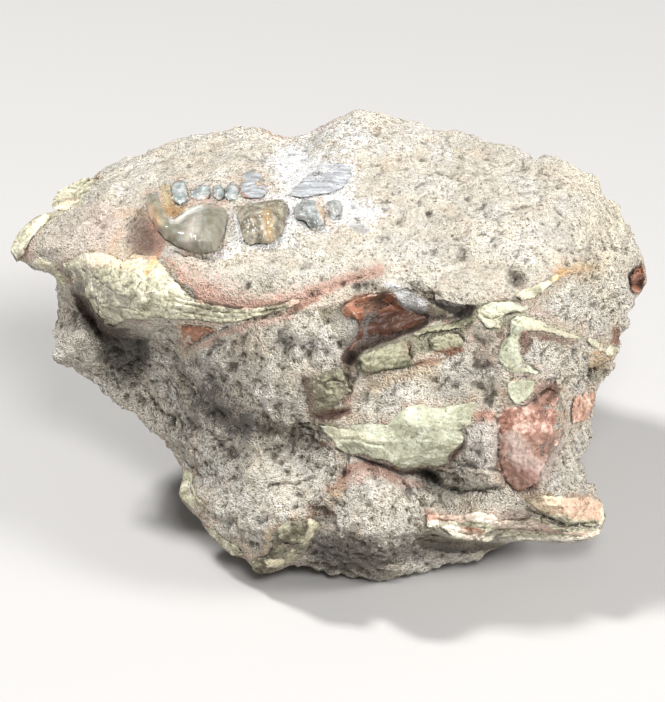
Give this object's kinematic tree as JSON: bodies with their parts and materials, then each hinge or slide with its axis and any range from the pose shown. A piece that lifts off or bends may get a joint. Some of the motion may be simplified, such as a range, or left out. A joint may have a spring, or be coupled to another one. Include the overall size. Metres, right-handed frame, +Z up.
{
  "type": "fossil squirrel skull",
  "caption": "Crushed fossil squirrel skull in its own block of pale siltstone, palate and cheek teeth up, resting on a small flat spot.",
  "frame": {"origin": "middle of the bounding box's underside, in the plane of the flat spot that the block rests on", "axes": "+X from the snout tip to the back of the skull, +Y away from the exposed cheek, +Z up, towards the cheek teeth"},
  "size_m": [0.0426, 0.0318, 0.0248],
  "materials": {
    "siltstone": "pale pinkish grey, earthy, pitted and dull",
    "bone": "chalky cream to yellow-green, cracked",
    "stained_bone": "iron-stained red-brown, half polished",
    "enamel": "grey-green, glossy and slightly translucent"
  },
  "bodies": {
    "root": {"arch_bone": "bone", "arch_strip": "bone", "arch_tile": "bone", "back_tooth": "enamel", "cheek_bone": "bone", "cheek_scrap": "stained_bone", "crest_bone": "stained_bone", "cusp_left": "enamel", "cusp_middle": "enamel", "cusp_right": "enamel", "ear_bone": "bone", "edge_bone": "stained_bone", "far_cheek_bone": "bone", "front_tooth": "enamel", "inner_jaw_bone": "bone", "jaw_angle_bone": "bone", "matrix": "siltstone", "neck_bone": "bone", "orbit_bone": "stained_bone", "palate_plate": "bone", "rim_bone_lower": "bone", "rim_bone_upper": "bone", "roof_bone": "bone", "second_tooth": "enamel", "shelf_block": "bone", "shelf_bone": "bone", "side_bone": "stained_bone", "skull_bone": "stained_bone", "snout_bone": "bone", "snout_flake": "bone", "splinter_leaf": "bone", "splinter_round": "bone", "temple_bar": "bone", "temple_bone": "bone", "temple_hook": "bone", "temple_scale": "bone", "temple_splint": "bone", "third_tooth": "enamel", "tooth_blade": "enamel"}
  },
  "joints": []
}
